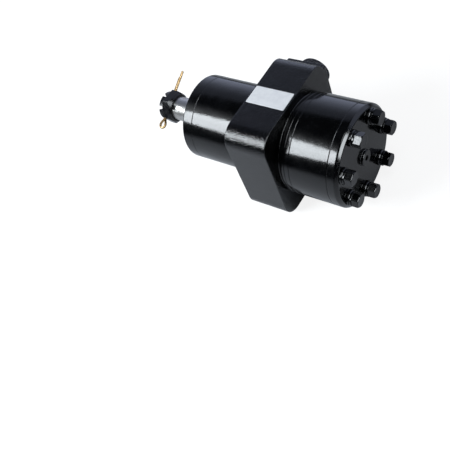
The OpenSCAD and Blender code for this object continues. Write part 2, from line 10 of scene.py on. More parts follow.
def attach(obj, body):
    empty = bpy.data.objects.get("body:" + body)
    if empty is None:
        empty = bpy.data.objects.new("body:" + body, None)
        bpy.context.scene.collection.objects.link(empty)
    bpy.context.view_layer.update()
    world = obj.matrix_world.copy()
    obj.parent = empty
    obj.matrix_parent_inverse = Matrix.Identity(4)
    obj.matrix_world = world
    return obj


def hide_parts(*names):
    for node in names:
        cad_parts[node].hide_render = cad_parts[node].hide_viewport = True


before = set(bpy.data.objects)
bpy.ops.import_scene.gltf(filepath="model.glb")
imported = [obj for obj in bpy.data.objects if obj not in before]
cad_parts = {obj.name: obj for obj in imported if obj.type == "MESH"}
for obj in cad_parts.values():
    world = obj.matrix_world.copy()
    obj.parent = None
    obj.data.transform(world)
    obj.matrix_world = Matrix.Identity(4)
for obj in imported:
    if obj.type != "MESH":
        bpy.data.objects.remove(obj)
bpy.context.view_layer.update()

MM = 0.001
TURN = 2 * pi

# Shared sizes, as in the part's source
BARREL_R = 43.7
BLOCK_HALF = 56.5
BLOCK_CORNER = 17.5
BLOCK_LEN = 45
BLOCK_EDGE = 0.8
NECK_R = 47
STACK_R = 50
COVER_SPIGOT_R = 29
X_BARREL = -62.5
X_COVER = -74.5
X_SPIGOT = -59
X_NECK = 49
X_REAR = 52.5
X_PLATE = 57.5
X_GEAR = 97.5
X_END = 108.5
X_NOSE = -133.5
X_CROWN = -126.5
X_SEAT = -115.5
X_TAPER_BIG = -80.5
X_COTTER = -129.5
X_LEDGE_FRONT = -38.91
X_LEDGE = -34.91
X_SPOOL = -30.79
JOURNAL_R = 17.5
SPOOL_R = 22.5
BORE_R = 22.54
PAD_FACE = 61.5
PORT_X = 26
PORT_Z = 26
PORT_R = 9.5
PORT_DEPTH = 18
MOUNT_HOLE_SPREAD = 42
BOLT_CIRCLE_R = 39.3
BOLT_PHASE = 2
STATIONS = 7
ROLLER_PHASE = BOLT_PHASE + 180 / STATIONS
COVER_SCREW_R = 36
COVER_SCREW_COUNT = 6
COVER_SCREW_PHASE = 30
COTTER_ANGLE = 25
KEYWAY_ANGLE = 130
KEYWAY_LEN = 14
KEYWAY_HALF = 2.5
NUT_FLATS = 32
NUT_LEN = 17
RING_GROOVE = (45.4, 47.6, 1.4)

# Rings of a turned or lofted piece have this many points
FINE = 256
ROUND = 128
SMALL = 72
SHARP_ANGLE = radians(34)

scene = bpy.context.scene


# Meshes

def linked(name, data):
    made = bpy.data.objects.new(name, data)
    scene.collection.objects.link(made)
    return made


def finished(name, bm):
    """A plain object from a bmesh in millimetres, with its faces outward and its edges shaded."""
    bmesh.ops.remove_doubles(bm, verts=bm.verts, dist=0.0005)
    bmesh.ops.recalc_face_normals(bm, faces=bm.faces)
    bmesh.ops.scale(bm, vec=(MM, MM, MM), verts=bm.verts)
    mesh = bpy.data.meshes.new(name)
    bm.to_mesh(mesh)
    bm.free()
    mesh.shade_smooth()
    mesh.set_sharp_from_angle(angle=SHARP_ANGLE)
    return linked(name, mesh)


def ring(x, radius, points=SMALL):
    """A rim around the X axis. radius and x are numbers, or functions of the angle."""
    rim = []
    for k in range(points):
        a = TURN * k / points
        r = radius(a) if callable(radius) else radius
        rim.append((x(a) if callable(x) else x, r * cos(a), r * sin(a)))
    return rim


def skinned(name, rims, loop=False):
    """A piece stretched between rims of equal length. A rim of one point closes to a pole."""
    bm = bmesh.new()
    made = [[bm.verts.new(p) for p in rim] for rim in rims]
    pairs = list(zip(made, made[1:]))
    if loop:
        pairs.append((made[-1], made[0]))
    for a, b in pairs:
        if len(a) == 1 and len(b) == 1:
            continue
        count = max(len(a), len(b))
        for k in range(count):
            n = (k + 1) % count
            if len(a) == 1:
                bm.faces.new((a[0], b[n], b[k]))
            elif len(b) == 1:
                bm.faces.new((a[k], a[n], b[0]))
            else:
                bm.faces.new((a[k], a[n], b[n], b[k]))
    return finished(name, bm)


def rounded(corners, steps=5, closed=False):
    """A path through (x, r, fillet) corners, each rounded with its own fillet."""
    path = []
    count = len(corners)
    for k, (x, r, fillet) in enumerate(corners):
        here = Vector((x, r))
        if fillet == 0 or (not closed and k in (0, count - 1)):
            path.append((x, r))
            continue
        back = Vector(corners[k - 1][:2]) - here
        on = Vector(corners[(k + 1) % count][:2]) - here
        half = back.angle(on) / 2
        if half > 1.55:
            path.append((x, r))
            continue
        u, v = back.normalized(), on.normalized()
        reach = min(fillet / tan(half), 0.49 * back.length, 0.49 * on.length)
        size = reach * tan(half)
        centre = here + (u + v).normalized() * size / sin(half)
        start, end = here + u * reach - centre, here + v * reach - centre
        for s in range(steps + 1):
            path.append(tuple(centre + start.slerp(end, s / steps).normalized() * size))
    return path


def lathe(corners, points=SMALL, steps=5, closed=False):
    """Rims of a turned piece from its profile. A point on the axis is a pole."""
    return [[(x, 0, 0)] if r < 0.001 else ring(x, r, points) for x, r in rounded(corners, steps, closed)]


def turned(name, corners, points=SMALL, closed=False):
    return skinned(name, lathe(corners, points, closed=closed), closed)


def polygon_radius(sides, apothem, corner, phase=0):
    """Distance from the axis to a polygon with round corners, as a function of the angle."""
    sector = TURN / sides
    reach = (apothem - corner) / cos(sector / 2)
    flat = (apothem - corner) * tan(sector / 2)

    def radius(a):
        off = (a - phase + sector / 2) % sector - sector / 2
        if abs(apothem * tan(off)) <= flat:
            return apothem / cos(off)
        side = sector / 2 - abs(off)
        across = reach * sin(side)
        return reach * cos(side) + sqrt(max(corner * corner - across * across, 0))

    return radius


def baked(piece):
    """Applies the modifiers of a piece, and returns it with a plain mesh."""
    graph = bpy.context.evaluated_depsgraph_get()
    graph.update()
    mesh = bpy.data.meshes.new_from_object(
        piece.evaluated_get(graph), preserve_all_data_layers=True, depsgraph=graph)
    piece.modifiers.clear()
    old = piece.data
    piece.data = mesh
    mesh.name = piece.name
    bpy.data.meshes.remove(old)
    return piece


def cut(piece, *tools, operation="DIFFERENCE"):
    """Cuts the tools out of a piece, or adds them to it, and removes them."""
    for tool in tools:
        change = piece.modifiers.new("Cut", "BOOLEAN")
        change.object = tool
        change.operation = operation
        change.solver = "EXACT"
        baked(piece)
        bpy.data.objects.remove(tool)
    piece.data.set_sharp_from_angle(angle=SHARP_ANGLE)
    return piece


def evened(piece):
    """Weights the shading by face size, so that flat faces beside a fillet stay flat."""
    change = piece.modifiers.new("Shading", "WEIGHTED_NORMAL")
    change.keep_sharp = True
    change.weight = 60
    return baked(piece)


def placed(piece, matrix):
    """Moves the mesh of a piece by a matrix in millimetres."""
    move = matrix.copy()
    move.translation = matrix.translation * MM
    piece.data.transform(move)
    return piece


def joined(name, pieces):
    bm = bmesh.new()
    for piece in pieces:
        bm.from_mesh(piece.data)
        bpy.data.objects.remove(piece)
    mesh = bpy.data.meshes.new(name)
    bm.to_mesh(mesh)
    bm.free()
    return linked(name, mesh)


def about_x(degrees):
    return Matrix.Rotation(radians(degrees), 4, "X")


def shift(x, y=0, z=0):
    return Matrix.Translation((x, y, z))


# Turn a piece that was made along +X so that it points along +Y or -X
ALONG_Y = Matrix.Rotation(radians(90), 4, "Z")
FACE_ABOUT = Matrix.Rotation(pi, 4, "Z")


def saw(t):
    """A thread's section: 0 at the crest and 1 at the root, with small flats on both."""
    wave = abs((t % 1) * 2 - 1)
    return min(max((wave - 0.12) / 0.76, 0), 1)


def thread_rims(x0, x1, crest, root, pitch, points, per_turn=8):
    """Rims of a screw thread about X, which fades in and out at its ends."""
    count = max(2, int((x1 - x0) / pitch * per_turn))
    run_out = 0.8 * pitch
    rims = []
    for k in range(count + 1):
        x = x0 + (x1 - x0) * k / count
        depth = min(1, (x - x0) / run_out + 0.001, (x1 - x) / run_out + 0.001)
        rims.append(ring(x, lambda a: crest + (root - crest) * depth * saw(x / pitch - a / TURN), points))
    return rims


def threaded_hole(depth, tap_r, major_r, pitch, mouth_r, face_r=0, face_depth=0, points=ROUND):
    """A cutter for a threaded blind hole: its mouth is at x = 0, and the hole runs toward -X."""
    chamfer = mouth_r - tap_r
    rims = [[(1, 0, 0)]]
    if face_r:
        rims += [ring(1, face_r, points), ring(-face_depth, face_r, points)]
    else:
        rims += [ring(1, mouth_r + 1, points)]
    rims += [ring(-face_depth, mouth_r, points), ring(-face_depth - chamfer, tap_r, points)]
    rims += thread_rims(-depth + 2 * pitch, -face_depth - chamfer - 0.2, tap_r, major_r, pitch, points)[::-1]
    rims += [ring(-depth, tap_r, points), [(-depth - 0.55 * tap_r, 0, 0)]]
    return skinned("cutter", rims)


def drill(depth, r, points=SMALL, mouth=0):
    """A cutter for a plain hole with its mouth at x = 0, running toward -X."""
    corners = [(1, 0, 0), (1, r + mouth + (1 if mouth else 0), 0)]
    if mouth:
        corners += [(-mouth, r, 0)]
    corners += [(-depth, r, 0), (-depth - 0.5 * r, 0, 0)]
    return turned("cutter", corners, points)


def copies(piece, count, phase, radius=0, x=0):
    """Copies of a cutter around the X axis, joined into one and moved to x."""
    made = []
    for k in range(count):
        twin = linked("cutter", piece.data.copy())
        made.append(placed(twin, about_x(phase + 360 * k / count) @ shift(0, radius)))
    bpy.data.objects.remove(piece)
    return placed(joined("cutter", made), shift(x))


def bar(x0, x1, y0, y1, z0, z1):
    bm = bmesh.new()
    bmesh.ops.create_cube(bm, size=1)
    for v in bm.verts:
        v.co = Vector((x0 if v.co.x < 0 else x1, y0 if v.co.y < 0 else y1, z0 if v.co.z < 0 else z1))
    return finished("cutter", bm)


def between(p, q, r, points):
    p, q = Vector(p), Vector(q)
    path = [(0, 0, 0), (0, r, 0), ((q - p).length, r, 0), ((q - p).length, 0, 0)]
    turn = (q - p).to_track_quat("X", "Z").to_matrix().to_4x4()
    return placed(turned("cutter", path, points), Matrix.Translation(p) @ turn)


# Nodes

def put(tree, kind, settings=None, **wires):
    """Adds a node. Its kind leaves out ShaderNode, and a wire has the name or the place of its socket."""
    made = tree.nodes.new(kind if "Node" in kind else "ShaderNode" + kind)
    for key, value in (settings or {}).items():
        setattr(made, key, value)
    for key, value in wires.items():
        socket = made.inputs[int(key[1:])] if key[0] == "_" else made.inputs[key.replace("_", " ")]
        if isinstance(value, bpy.types.NodeSocket):
            tree.links.new(value, socket)
        else:
            socket.default_value = value
    return made


def listed(values):
    """Names a list of values by the place of their sockets."""
    return {f"_{k}": value for k, value in enumerate(values)}


def reckon(tree, operation, *values):
    return put(tree, "Math", {"operation": operation}, **listed(values)).outputs[0]


def times(tree, first, *others):
    for other in others:
        first = reckon(tree, "MULTIPLY", first, other)
    return first


def plus(tree, first, *others):
    for other in others:
        first = reckon(tree, "ADD", first, other)
    return first


def from_one(tree, value):
    return reckon(tree, "SUBTRACT", 1, value)


def measure(tree, operation, *vectors):
    return put(tree, "VectorMath", {"operation": operation}, **listed(vectors)).outputs["Value"]


def mix(tree, share, low, high):
    return put(tree, "Mix", {"data_type": "RGBA"}, _0=share, _6=low, _7=high).outputs[2]


def fade(tree, value, low, high, to_low=0, to_high=1):
    """Maps a value from one span to another, with soft ends."""
    return put(tree, "MapRange", {"interpolation_type": "SMOOTHSTEP"},
               Value=value, From_Min=low, From_Max=high, To_Min=to_low, To_Max=to_high).outputs[0]


def noise(tree, vector, scale, detail, roughness=0.5, warp=0):
    return put(tree, "TexNoise", Vector=vector, Scale=scale, Detail=detail,
               Roughness=roughness, Distortion=warp).outputs["Fac"]


def bump(tree, height, distance, normal=None):
    below = {} if normal is None else {"Normal": normal}
    return put(tree, "Bump", Height=height, Distance=distance, **below).outputs[0]


SOCKETS = {"value": "NodeSocketFloat", "count": "NodeSocketInt", "vector": "NodeSocketVector",
           "colour": "NodeSocketColor", "mesh": "NodeSocketGeometry", "material": "NodeSocketMaterial"}


def node_group(name, kind, inputs, outputs):
    """A node group with named sockets: the tree, what it is given, and a way to set its results."""
    tree = bpy.data.node_groups.new(name, kind)
    for side, sockets in (("INPUT", inputs), ("OUTPUT", outputs)):
        for label, socket in sockets.items():
            tree.interface.new_socket(name=label, in_out=side, socket_type=SOCKETS[socket])
    given = put(tree, "NodeGroupInput").outputs

    def give(**results):
        put(tree, "NodeGroupOutput", **results)
        return tree

    return tree, given, give


# Copies by Geometry Nodes

def ring_of_copies_group():
    """Copies of a piece around the X axis, each turned a little by chance."""
    tree, given, give = node_group("Ring of copies", "GeometryNodeTree", {
        "Geometry": "mesh", "Count": "count", "Circle Radius": "value", "First Angle": "value",
        "Own Turn": "value", "Own Spread": "value", "Seed": "count", "Material": "material"},
        {"Geometry": "mesh"})
    index = put(tree, "GeometryNodeInputIndex").outputs[0]
    share = reckon(tree, "DIVIDE", index, given["Count"])
    angle = reckon(tree, "MULTIPLY_ADD", share, TURN, given["First Angle"])
    place = put(tree, "CombineXYZ",
                Y=times(tree, given["Circle Radius"], reckon(tree, "COSINE", angle)),
                Z=times(tree, given["Circle Radius"], reckon(tree, "SINE", angle))).outputs[0]
    points = put(tree, "GeometryNodePoints", Count=given["Count"], Position=place).outputs[0]
    chance = put(tree, "FunctionNodeRandomValue", {"data_type": "FLOAT"})
    sockets = {socket.name: socket for socket in chance.inputs if socket.enabled}
    sockets["Min"].default_value = -1
    sockets["Max"].default_value = 1
    tree.links.new(given["Seed"], sockets["Seed"])
    own = reckon(tree, "MULTIPLY_ADD", chance.outputs[1], given["Own Spread"], given["Own Turn"])
    turn = put(tree, "CombineXYZ", X=plus(tree, angle, own)).outputs[0]
    rotation = put(tree, "FunctionNodeEulerToRotation", _0=turn).outputs[0]
    instances = put(tree, "GeometryNodeInstanceOnPoints", Points=points, Instance=given["Geometry"],
                    Rotation=rotation).outputs[0]
    real = put(tree, "GeometryNodeRealizeInstances", _0=instances).outputs[0]
    coat = put(tree, "GeometryNodeSetMaterial", Geometry=real, Material=given["Material"]).outputs[0]
    return give(_0=coat)


RING_OF_COPIES = ring_of_copies_group()


def set_around(piece, count, radius, first_degrees, material, own_turn=0, own_spread=0, seed=1):
    """Repeats a piece on a circle about X, and leaves a plain mesh. Angles are degrees."""
    change = piece.modifiers.new("Copies", "NODES")
    change.node_group = RING_OF_COPIES
    values = {"Count": count, "Circle Radius": radius * MM,
              "First Angle": radians(first_degrees), "Own Turn": radians(own_turn),
              "Own Spread": radians(own_spread), "Seed": seed, "Material": material}
    for item in RING_OF_COPIES.interface.items_tree:
        if item.in_out == "INPUT" and item.name in values:
            change[item.identifier] = values[item.name]
    return baked(piece)


# Materials

def cast_skin_group():
    """Sand-cast skin under paint: fine grains on broad lumps. Sizes are per metre, depths in metres."""
    tree, given, give = node_group("Cast skin", "ShaderNodeTree", {
        "Vector": "vector", "Grain Scale": "value", "Grain Depth": "value",
        "Lump Scale": "value", "Lump Depth": "value"}, {"Normal": "vector", "Hollows": "value"})
    grain = noise(tree, given["Vector"], given["Grain Scale"], 2, 0.45, 0.25)
    beads = put(tree, "TexVoronoi", {"feature": "SMOOTH_F1"}, Vector=given["Vector"],
                Scale=given["Grain Scale"], Smoothness=0.6).outputs["Distance"]
    mixed = reckon(tree, "MULTIPLY_ADD", beads, -0.55, grain)
    lumps = noise(tree, given["Vector"], given["Lump Scale"], 1, 0.4)
    broad = bump(tree, lumps, given["Lump Depth"])
    return give(Normal=bump(tree, mixed, given["Grain Depth"], broad), Hollows=fade(tree, mixed, 0.35, 0.05))


def turning_group():
    """Marks of a lathe around the X axis, seen along a barrel and across a face."""
    tree, given, give = node_group("Turning marks", "ShaderNodeTree", {
        "Vector": "vector", "Marks Scale": "value", "Depth": "value", "Normal": "vector"},
        {"Normal": "vector", "Streaks": "value"})
    split = put(tree, "SeparateXYZ", Vector=given["Vector"]).outputs
    out = put(tree, "CombineXYZ", Y=split["Y"], Z=split["Z"]).outputs[0]
    along = plus(tree, split["X"], measure(tree, "LENGTH", out))
    around = times(tree, reckon(tree, "ARCTAN2", split["Z"], split["Y"]), 0.0006)
    line = put(tree, "CombineXYZ", X=along, Y=around).outputs[0]
    marks = noise(tree, line, given["Marks Scale"], 2, 0.6)
    bands = noise(tree, line, times(tree, given["Marks Scale"], 0.13), 2)
    return give(Normal=bump(tree, marks, given["Depth"], given["Normal"]),
                Streaks=reckon(tree, "MULTIPLY_ADD", bands, 0.6, times(tree, marks, 0.4)))


def mottle_group():
    """Slow changes over a surface, as in the film of a paint, a plating or a moulding."""
    tree, given, give = node_group("Mottle", "ShaderNodeTree", {
        "Vector": "vector", "Scale": "value", "Low": "value", "High": "value",
        "Dark": "colour", "Pale": "colour"}, {"Value": "value", "Colour": "colour"})
    soft = fade(tree, noise(tree, given["Vector"], given["Scale"], 4, 0.55), 0.3, 0.7)
    span = reckon(tree, "SUBTRACT", given["High"], given["Low"])
    return give(Value=reckon(tree, "MULTIPLY_ADD", soft, span, given["Low"]),
                Colour=mix(tree, soft, given["Dark"], given["Pale"]))


def specks_group():
    """Scattered specks, such as settled dust or worn grains, as a mask."""
    tree, given, give = node_group("Specks", "ShaderNodeTree", {
        "Vector": "vector", "Scale": "value", "Amount": "value"}, {"Mask": "value"})
    dots = put(tree, "TexVoronoi", {"feature": "F1"}, Vector=given["Vector"],
               Scale=given["Scale"]).outputs["Distance"]
    patches = noise(tree, given["Vector"], times(tree, given["Scale"], 0.08), 2)
    return give(Mask=times(tree, fade(tree, dots, 0.22, 0.08), fade(tree, patches, 0.45, 0.65),
                           given["Amount"]))


CAST_SKIN = cast_skin_group()
TURNING = turning_group()
MOTTLE = mottle_group()
SPECKS = specks_group()


def use(tree, group, **wires):
    return put(tree, "Group", {"node_tree": group}, **wires).outputs


def emptied(owner):
    """The node tree of a material or a world, with its default nodes removed."""
    owner.use_nodes = True
    owner.node_tree.nodes.clear()
    return owner.node_tree


class Finish:
    """A material in the making: a mottled film on a skin of grains and lumps, each (scale, depth)."""

    def __init__(self, name, dark, pale, rough, grain, lumps, patches):
        self.material = bpy.data.materials.new(name)
        self.tree = emptied(self.material)
        self.shader = put(self.tree, "BsdfPrincipled")
        put(self.tree, "OutputMaterial", Surface=self.shader.outputs[0])
        self.at = put(self.tree, "TexCoord").outputs["Object"]
        self.film = use(self.tree, MOTTLE, Vector=self.at, Scale=patches, Low=rough[0], High=rough[1],
                        Dark=(*dark, 1), Pale=(*pale, 1))
        self.skin = use(self.tree, CAST_SKIN, Vector=self.at, Grain_Scale=grain[0], Grain_Depth=grain[1],
                        Lump_Scale=lumps[0], Lump_Depth=lumps[1])

    def turned(self, marks):
        return use(self.tree, TURNING, Vector=self.at, Marks_Scale=marks[0], Depth=marks[1],
                   Normal=self.skin["Normal"])

    def done(self, colour, normal, duller, share, **plain):
        """Wires the shader. duller is the mask that adds share to the roughness."""
        matt = reckon(self.tree, "MULTIPLY_ADD", duller, share, self.film["Value"])
        for socket, value in (("Base Color", colour), ("Roughness", matt), ("Normal", normal)):
            self.tree.links.new(value, self.shader.inputs[socket])
        for socket, value in plain.items():
            self.shader.inputs[socket.replace("_", " ")].default_value = value
        return self.material


def paint(name, rough, grain, lumps, marks=None, flecks=0):
    """Gloss black paint, with flecks of dust. rough is the span of its roughness."""
    made = Finish(name, (0.0008, 0.0009, 0.0011), (0.0016, 0.0018, 0.0022), rough, grain, lumps, 55)
    normal = made.turned(marks)["Normal"] if marks else made.skin["Normal"]
    dust = use(made.tree, SPECKS, Vector=made.at, Scale=900, Amount=flecks)["Mask"]
    colour = mix(made.tree, dust, made.film["Colour"], (0.16, 0.16, 0.165, 1))
    return made.done(colour, normal, made.skin["Hollows"], 0.07, IOR=1.52)


def steel(name, dark, pale, rough, marks):
    made = Finish(name, dark, pale, rough, (2600, 0.0000012), (120, 0.000004), 90)
    turning = made.turned(marks)
    return made.done(made.film["Colour"], turning["Normal"], turning["Streaks"], 0.09, Metallic=1)


def moulded(name, dark, pale, rough, grain, lumps=(160, 0.00002), metallic=0, gloss=0.5):
    """Rubber, plastic, film, or a plated or oxide-coated metal, with a fine skin."""
    made = Finish(name, dark, pale, rough, grain, lumps, 140)
    return made.done(made.film["Colour"], made.skin["Normal"], made.skin["Hollows"], 0.08,
                     Metallic=metallic, Specular_IOR_Level=gloss)


CAST_PAINT = paint("Black paint on casting", (0.06, 0.11), (850, 0.00026), (170, 0.00006), flecks=0.2)
BARREL_PAINT = paint("Black paint on the barrel", (0.07, 0.12), (700, 0.00004), (90, 0.0001),
                     marks=(900, 0.000006), flecks=0.15)
SMOOTH_PAINT = paint("Black paint on turned rings", (0.09, 0.14), (900, 0.000006), (120, 0.00006),
                     marks=(1500, 0.000004), flecks=0.2)
BOLT_PAINT = paint("Black paint on bolts", (0.08, 0.13), (700, 0.000012), (260, 0.00002))
GROUND_STEEL = steel("Ground steel", (0.42, 0.415, 0.4), (0.52, 0.515, 0.5), (0.22, 0.32), (3800, 0.000006))
PLAIN_STEEL = steel("Machined steel", (0.4, 0.41, 0.43), (0.55, 0.56, 0.58), (0.24, 0.36), (2200, 0.00001))
CAGE_BRASS = steel("Cage brass", (0.5, 0.35, 0.14), (0.66, 0.49, 0.22), (0.24, 0.38), (1800, 0.00001))
NUT_OXIDE = moulded("Black oxide", (0.004, 0.004, 0.005), (0.01, 0.01, 0.011), (0.1, 0.18),
                    (1500, 0.00003), (240, 0.00007), gloss=0.32)
# Painted shade: the keyway's walls get a dark, dull finish that stands for the shade inside the keyway
KEYWAY_PAINTED_SHADE = moulded("Keyway walls in painted shade", (0.004, 0.004, 0.005), (0.01, 0.01, 0.011), (0.55, 0.7),
                     (1500, 0.00002), gloss=0.2)
YELLOW_ZINC = moulded("Yellow zinc", (0.4, 0.25, 0.1), (0.58, 0.41, 0.22), (0.4, 0.52),
                      (1800, 0.000012), metallic=1)
SEAL_RUBBER = moulded("Seal rubber", (0.012, 0.012, 0.013), (0.024, 0.024, 0.026), (0.42, 0.58),
                      (1900, 0.00001))
PLUG_PLASTIC = moulded("Plug plastic", (0.014, 0.014, 0.016), (0.024, 0.024, 0.027), (0.32, 0.46),
                       (1400, 0.00002))
LABEL_FILM = moulded("Label film", (0.74, 0.75, 0.78), (0.82, 0.83, 0.85), (0.3, 0.42),
                     (1100, 0.000008), (90, 0.00004))


# The housing

def square(inset=0):
    return polygon_radius(4, BLOCK_HALF - inset, BLOCK_CORNER - inset)


def face_rims(x, inner, shares):
    """Rims of a flat face of the block, between a circle and the face's outline."""
    face = square(BLOCK_EDGE)
    return [ring(x, lambda a: inner + (face(a) - inner) * share, FINE) for share in shares]


def block_rims():
    """Rims of the square block from front to rear, with round edges."""
    turns = 6
    rims = face_rims(0, BARREL_R + 3, [s / 7 for s in range(1, 8)])
    for s in range(1, turns + 1):
        a = s / turns * pi / 2
        rims.append(ring(BLOCK_EDGE * (1 - cos(a)), square(BLOCK_EDGE * (1 - sin(a))), FINE))
    side = BLOCK_LEN - BLOCK_EDGE - BLOCK_EDGE
    rims += [ring(BLOCK_EDGE + side * s / 14, square(), FINE) for s in range(1, 14)]
    for s in range(turns + 1):
        a = s / turns * pi / 2
        rims.append(ring(BLOCK_LEN - BLOCK_EDGE * (1 - sin(a)), square(BLOCK_EDGE * (1 - cos(a))), FINE))
    return rims + face_rims(BLOCK_LEN, NECK_R + 1.8, [s / 7 for s in range(6, 0, -1)])


def rectangle_outline(width, height, corner, side=6):
    """Points of a rectangle with round corners, around its centre."""
    steps = 6
    points = []
    for turn, (sx, sy) in enumerate(((1, 1), (-1, 1), (-1, -1), (1, -1))):
        cx, cy = sx * (width / 2 - corner), sy * (height / 2 - corner)
        for s in range(steps + 1):
            a = pi / 2 * (turn + s / steps)
            points.append((cx + corner * cos(a), cy + corner * sin(a)))
        u, v = points[-1]
        nx, ny = ((-1, 1), (-1, -1), (1, -1), (1, 1))[turn]
        du = nx * (width / 2 - corner) + corner * cos(a) - u
        dv = ny * (height / 2 - corner) + corner * sin(a) - v
        points += [(u + du * t, v + dv * t) for t in (s / side for s in range(1, side))]
    return points


def port_pad():
    """The raised pad for the ports, with a flared foot above and below."""
    length, height, corner, edge = 43, 87, 3, 0.9
    middle = BLOCK_LEN / 2
    levels = [(-6, 0, 0), (-0.6, 0, 1.5), (-0.1, 0, 1.4), (0.25, 0, 0.75), (0.7, 0, 0.3), (1.3, 0, 0)]
    for s in range(5):
        a = pi / 2 * s / 4
        shrink = -edge * (1 - cos(a))
        levels.append((PAD_FACE - BLOCK_HALF - edge + edge * sin(a), shrink, shrink))
    rims = [[(middle, BLOCK_HALF + levels[0][0], 0)]]
    for up, grow_x, grow_z in levels:
        rims.append([(middle + u, BLOCK_HALF + up, v) for u, v in
                     rectangle_outline(length + 2 * grow_x, height + 2 * grow_z, corner)])
    return skinned("pad", rims + [[(middle, PAD_FACE, 0)]])


def housing_cutters():
    """The holes of the housing, in groups that don't touch each other within a group."""
    port = threaded_hole(PORT_DEPTH, PORT_R, 10.48, 1.814, 10.8, 15, 0.3)
    outer = [placed(port, shift(PORT_X, PAD_FACE, -PORT_Z) @ ALONG_Y),
             placed(drill(PORT_DEPTH, PORT_R), shift(PORT_X, PAD_FACE, PORT_Z) @ ALONG_Y)]
    for sy in (MOUNT_HOLE_SPREAD, -MOUNT_HOLE_SPREAD):
        for sz in (MOUNT_HOLE_SPREAD, -MOUNT_HOLE_SPREAD):
            hole = threaded_hole(15, 4.25, 5, 1.5, 5.3, points=SMALL)
            outer.append(placed(hole, shift(0, sy, sz) @ FACE_ABOUT))
    outer.append(copies(placed(drill(12, 3.02), FACE_ABOUT), COVER_SCREW_COUNT, COVER_SCREW_PHASE,
                        COVER_SCREW_R, X_BARREL))
    outer.append(copies(drill(18, 4.02, mouth=0.5), STATIONS, BOLT_PHASE, BOLT_CIRCLE_R, X_REAR))
    galleries = copies(drill(X_REAR + 1, 3.5, points=32), STATIONS, ROLLER_PHASE, 33, X_REAR)
    windows = copies(bar(-1, 5, 20, 33, -3.4, 3.4), STATIONS, ROLLER_PHASE)
    passages = joined("cutter", [between((PORT_X, PAD_FACE - 17, PORT_Z), (16, 16.5, 21), 4.5, 36),
                                 between((PORT_X, PAD_FACE - 17, -PORT_Z), (-12, 16.5, -21), 4.5, 36)])
    return joined("cutter", outer), galleries, windows, passages


def roughcast(piece, depth, size):
    """Lets the cast surfaces of the housing wander inward a little, as sand casting does."""
    bm = bmesh.new()
    bm.from_mesh(piece.data)
    for v in bm.verts:
        p = v.co / MM
        machined = p.x < X_BARREL + 1.5 or p.x > X_NECK - 1 or hypot(p.y, p.z) < 43
        if machined or p.y > PAD_FACE - 0.2 or p.z < 0.3 - BLOCK_HALF:
            continue
        swell = field.noise(p / size) * 0.65 + field.noise(p / (size * 0.4)) * 0.35
        v.co -= v.normal * MM * depth * (0.5 + 0.5 * max(-1, min(1, swell * 1.6)))
    bm.to_mesh(piece.data)
    bm.free()


def grooves(*places, r, floor_r):
    """Corners of round grooves in a bore or a spool."""
    corners = []
    for a, b in places:
        corners += [(a, r, 0.2), (a, floor_r, 0.5), (b, floor_r, 0.5), (b, r, 0.2)]
    return corners


def make_housing():
    inner, outer, deep = RING_GROOVE
    rims = lathe([(X_BARREL, COVER_SPIGOT_R + 0.04, 0), (X_BARREL, BARREL_R, 0.6), (-30, BARREL_R, 0),
                  (-12, BARREL_R, 0), (0, BARREL_R, 2.6), (0, BARREL_R + 3, 0)], FINE)
    along = []
    for a, b in zip(rims, rims[1:]):
        along.append(a)
        gap = b[0][0] - a[0][0]
        count = int(gap // 3)
        along += [ring(a[0][0] + gap * s / count, BARREL_R, FINE) for s in range(1, count)]
    rims = along + [rims[-1]] + block_rims()
    rims += lathe([
        (BLOCK_LEN, NECK_R + 1.8, 0), (BLOCK_LEN, NECK_R, 1.3), (X_NECK, NECK_R, 1), (X_NECK, STACK_R, 0.6),
        (X_REAR, STACK_R, 0.6), (X_REAR, outer, 0), (X_REAR - deep, outer, 0), (X_REAR - deep, inner, 0),
        (X_REAR, inner, 0), (X_REAR, BORE_R, 0.3), *grooves((19, 13), (-9, -15), r=BORE_R, floor_r=27.54),
        (X_LEDGE, BORE_R, 0.3), (X_LEDGE, 18.5, 0.3), (X_LEDGE_FRONT, 18.5, 0.3), (X_LEDGE_FRONT, 23.52, 0.4),
        (X_SPIGOT + 0.03, 23.52, 0.3), (X_SPIGOT + 0.03, COVER_SPIGOT_R + 0.04, 0.2)], FINE, steps=3)
    piece = skinned("housing_casting", rims, loop=True)
    cut(piece, port_pad(), operation="UNION")
    roughcast(piece, 0.1, 9)
    return cut(piece, *housing_cutters())


# The front cover and its screws

def make_front_cover():
    seal, neck, lip, floor_r = X_COVER + 4, X_SPIGOT - 9.5, 19.5, 27.2
    piece = turned("front_cover_plate", [
        (X_COVER, BARREL_R, 1.5), (X_BARREL, BARREL_R, 0.6), (X_BARREL, COVER_SPIGOT_R, 0.2),
        (X_BARREL + 0.8, COVER_SPIGOT_R, 0), (X_BARREL + 0.8, floor_r, 0), (X_BARREL + 3.14, floor_r, 0),
        (X_BARREL + 3.14, COVER_SPIGOT_R, 0), (X_SPIGOT, COVER_SPIGOT_R, 0.2), (X_SPIGOT, 25, 0.3),
        (neck, 25, 0), (neck, lip, 0.2), (seal, lip, 0.2), (seal, 22.25, 0), (X_COVER, 22.25, 0.5)],
        FINE, closed=True)
    step = turned("cutter", [(1, 0, 0), (1, 6.7, 0), (-0.4, 5.3, 0), (-6.5, 5.3, 0.3), (-6.5, 3.3, 0),
                             (-14, 3.3, 0), (-14, 0, 0)])
    return cut(piece, copies(placed(step, FACE_ABOUT), COVER_SCREW_COUNT, COVER_SCREW_PHASE,
                             COVER_SCREW_R, X_COVER))


def socket_rims(x_face, x_floor, flats, mouth, out=1):
    """Rims of a hexagon socket that opens toward +X when out is 1 and toward -X when it is -1."""
    wall = polygon_radius(6, flats / 2, 0.25)
    return [[(x_floor - out * 0.9, 0, 0)], ring(x_floor, lambda a: wall(a) * 0.9),
            ring(x_floor + out * 0.15, wall), ring(x_face - out * 0.35, wall), ring(x_face, mouth)]


